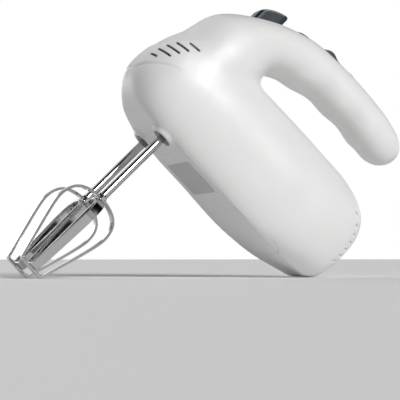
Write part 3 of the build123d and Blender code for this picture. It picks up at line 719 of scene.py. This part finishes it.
def beaters():
    """Both beaters: a shaft with its collar, a loop along the mixer and one across it."""
    for side, middle in (("left", -AXIS_Y), ("right", AXIS_Y)):
        body = f"{side}_beater"
        bm = bmesh.new()
        lathe(bm, middle, [(2, SHAFT_TOP), (2.6, SHAFT_TOP - 0.5), (SHAFT_R, SHAFT_TOP - 1.5),
                           (SHAFT_R, COLLAR_TOP + 2.4), (COLLAR_R - 0.3, COLLAR_TOP + 1.2),
                           (COLLAR_R, COLLAR_TOP + 0.8), (COLLAR_R, COLLAR_BOTTOM + 0.4),
                           (COLLAR_R - 0.4, COLLAR_BOTTOM), (ROD_R, COLLAR_BOTTOM - 1.4),
                           (ROD_R, HEAD_FOOT_Z + 2 * STRIP)])
        bm_piece(f"{side}_whisk_shaft", bm, chrome, body, [f"{side}_beater_shaft"])
        bm = bmesh.new()
        add_strip(bm, loop_path(0), lambda u, z, w: Vector((u, middle + w, z)))
        bm_piece(f"{side}_whisk_loop", bm, chrome, body, [f"{side}_beater_loop"])
        bm = bmesh.new()
        add_strip(bm, loop_path(STRIP), lambda u, z, w: Vector((w, middle + u, z)))
        bm_piece(f"{side}_whisk_cross_loop", bm, chrome, body, [f"{side}_beater_cross_loop"])


def softened(name, bm, plan_bm, size, rounds):
    """What two skins share, with every edge rounded off."""
    piece = scratch_object(name, bm)
    mesh = combine(applied(piece), plan_bm, "INTERSECT")
    mesh = evened(in_scene(name, mesh), size)
    places, edges = mesh_arrays(mesh)
    everywhere = np.ones(len(places))
    move_vertices(mesh, smoothed(places, edges, everywhere, [SMOOTHING] * rounds))
    return mesh


def controls():
    """Eject button and speed slider."""
    front, rear = BUTTON_X
    crest = (rear - 2, BUTTON_REAR_Z)
    top = bezier([(front, BUTTON_FRONT_Z), (front + 2, 122.8), (front + 9, 127.9), crest], 24)
    side = [*map(tuple, top), crest, (rear - 0.7, 129.6), (rear, 128.6),
            (rear, BUTTON_FOOT_Z), (front, BUTTON_FOOT_Z)]
    profile, plan = bmesh.new(), bmesh.new()
    add_prism(profile, side, sideways, -BUTTON_SIDE_Y, BUTTON_SIDE_Y)
    outline = rounded(rear - front, 2 * BUTTON_HALF_Y, BUTTON_CORNER, ((front + rear) / 2, 0))
    add_prism(plan, outline, upright, *BUTTON_PLAN_Z)
    mesh = softened("button", profile, plan, BUTTON_GRAIN, BUTTON_ROUNDS)
    finish_mesh("button", mesh, [slate_plastic], "eject_control", ["eject_button"], BUTTON_SHARP)
    profile, plan = bmesh.new(), bmesh.new()
    add_prism(profile, SLIDER_PROFILE, beside_slide, -SLIDER_SIDE_Y, SLIDER_SIDE_Y)
    add_prism(plan, rounded(*SLIDER_PLAN, SLIDER_CORNER, (SLIDER_X, 0)), on_slide, *SLIDER_PLAN_Z)
    mesh = softened("slider", profile, plan, SLIDER_GRAIN, SLIDER_ROUNDS)
    bm = mesh_to_bm(mesh)
    add_prism(bm, rounded(*STEM_PLAN, STEM_CORNER, (STEM_X, 0)), on_slide, *STEM_Z)
    bm_piece("slider", bm, dark_plastic, "speed_control", ["speed_slider"], SLIDER_SHARP)


def label():
    """The rating label, left blank."""
    bm = bmesh.new()
    add_prism(bm, rounded(*LABEL_SIZE, LABEL_CORNER, (LABEL_X, 0)), upright, *LABEL_Z)
    bm_piece("blank_label", bm, MATERIALS["label"], "housing", ["rating_label"])


# Floor, light and camera ------------------------------------------------------------------
FLOOR_HALF = 6.0
FLOOR_GRAIN, FLOOR_STRENGTH, FLOOR_RELIEF = 40, 0.02, 0.0005
SUN_DISTANCE = 2
# The room's light as position and grey level: from the horizon up, and from before to behind
UPWARD_LEVELS = [(0.0, 1.0), (0.19, 1.0), (0.24, 0.04), (0.85, 0.04), (1.0, 0.3)]
ACROSS_LEVELS = [(0.0, 0.45), (0.10, 0.45), (0.15, 0.02), (0.36, 0.02), (0.42, 0.8), (0.6, 0.8),
                 (0.7, 1.0)]
CAMERA_TURN, CAMERA_PITCH = math.radians(17.2), math.radians(1.9)
CAMERA_TARGET, CAMERA_DISTANCE = Vector((-0.00885, 0, 0.05343)), 1.164
SENSOR_WIDTH, LENS = 36, 152


def floor():
    """A wide pale floor."""
    material, tree, shader = principled("floor", (0.86, 0.86, 0.86), 0.9)
    bump(tree, shader, noise(tree, FLOOR_GRAIN), FLOOR_STRENGTH, FLOOR_RELIEF)
    mesh = bpy.data.meshes.new("floor")
    half = FLOOR_HALF
    mesh.from_pydata([(-half, -half, 0), (half, -half, 0), (half, half, 0), (-half, half, 0)],
                     [], [(0, 1, 2, 3)])
    mesh.materials.append(material)
    plane = in_scene("floor", mesh)


def sun(name, toward, power, spread):
    """A distant soft light that comes from a direction."""
    data = bpy.data.lights.new(name, "SUN")
    data.energy = power
    data.angle = math.radians(spread)
    light = in_scene(name, data)
    light.rotation_euler = Vector(toward).to_track_quat("Z", "Y").to_euler()
    light.location = Vector(toward) * SUN_DISTANCE


def graded(tree, value, stops):
    """Grey levels along a value, from positions and levels."""
    ramp_node = tree.nodes.new("ShaderNodeValToRGB")
    tree.links.new(value, ramp_node.inputs["Fac"])
    elements = ramp_node.color_ramp.elements
    for element, (position, level) in zip(elements, (stops[0], stops[-1])):
        element.position, element.color = position, grey(level)
    for position, level in stops[1:-1]:
        elements.new(position).color = grey(level)
    return ramp_node.outputs["Color"]


def room():
    """Surroundings that are white behind the mixer, dim above, and dark in bands before it."""
    world = bpy.data.worlds.new("room")
    world.use_nodes = True
    tree = world.node_tree
    coordinates = tree.nodes.new("ShaderNodeTexCoord")
    split = tree.nodes.new("ShaderNodeSeparateXYZ")
    tree.links.new(coordinates.outputs["Generated"], split.inputs["Vector"])
    halved = tree.nodes.new("ShaderNodeMath")
    halved.operation = "MULTIPLY_ADD"
    halved.inputs[1].default_value = halved.inputs[2].default_value = 0.5
    tree.links.new(split.outputs["Y"], halved.inputs[0])
    upward = graded(tree, split.outputs["Z"], UPWARD_LEVELS)
    across = graded(tree, halved.outputs[0], ACROSS_LEVELS)
    both = tree.nodes.new("ShaderNodeMixRGB")
    both.blend_type = "MULTIPLY"
    both.inputs["Fac"].default_value = 1.0
    tree.links.new(upward, both.inputs["Color1"])
    tree.links.new(across, both.inputs["Color2"])
    tree.links.new(both.outputs["Color"], tree.nodes["Background"].inputs["Color"])
    bpy.context.scene.world = world


def lights():
    """A soft key light above the camera's right, and a weak one behind the mixer."""
    sun("key", (0.28, -0.80, 0.52), power=2.6, spread=30)
    sun("back", (-0.35, 0.80, 0.55), power=0.9, spread=60)


def camera():
    """Low, a little to the front of the mixer's left side, with a long lens."""
    data = bpy.data.cameras.new("camera")
    data.sensor_width = SENSOR_WIDTH
    data.lens = LENS
    turn, pitch = CAMERA_TURN, CAMERA_PITCH
    look = Vector((math.sin(turn) * math.cos(pitch), math.cos(turn) * math.cos(pitch),
                   math.sin(pitch)))
    eye = in_scene("camera", data)
    eye.location = CAMERA_TARGET - look * CAMERA_DISTANCE
    eye.rotation_euler = look.to_track_quat("-Z", "Y").to_euler()
    bpy.context.scene.camera = eye


housing()
beaters()
controls()
label()
floor()
room()
lights()
camera()
bpy.context.scene.view_settings.view_transform = "Standard"
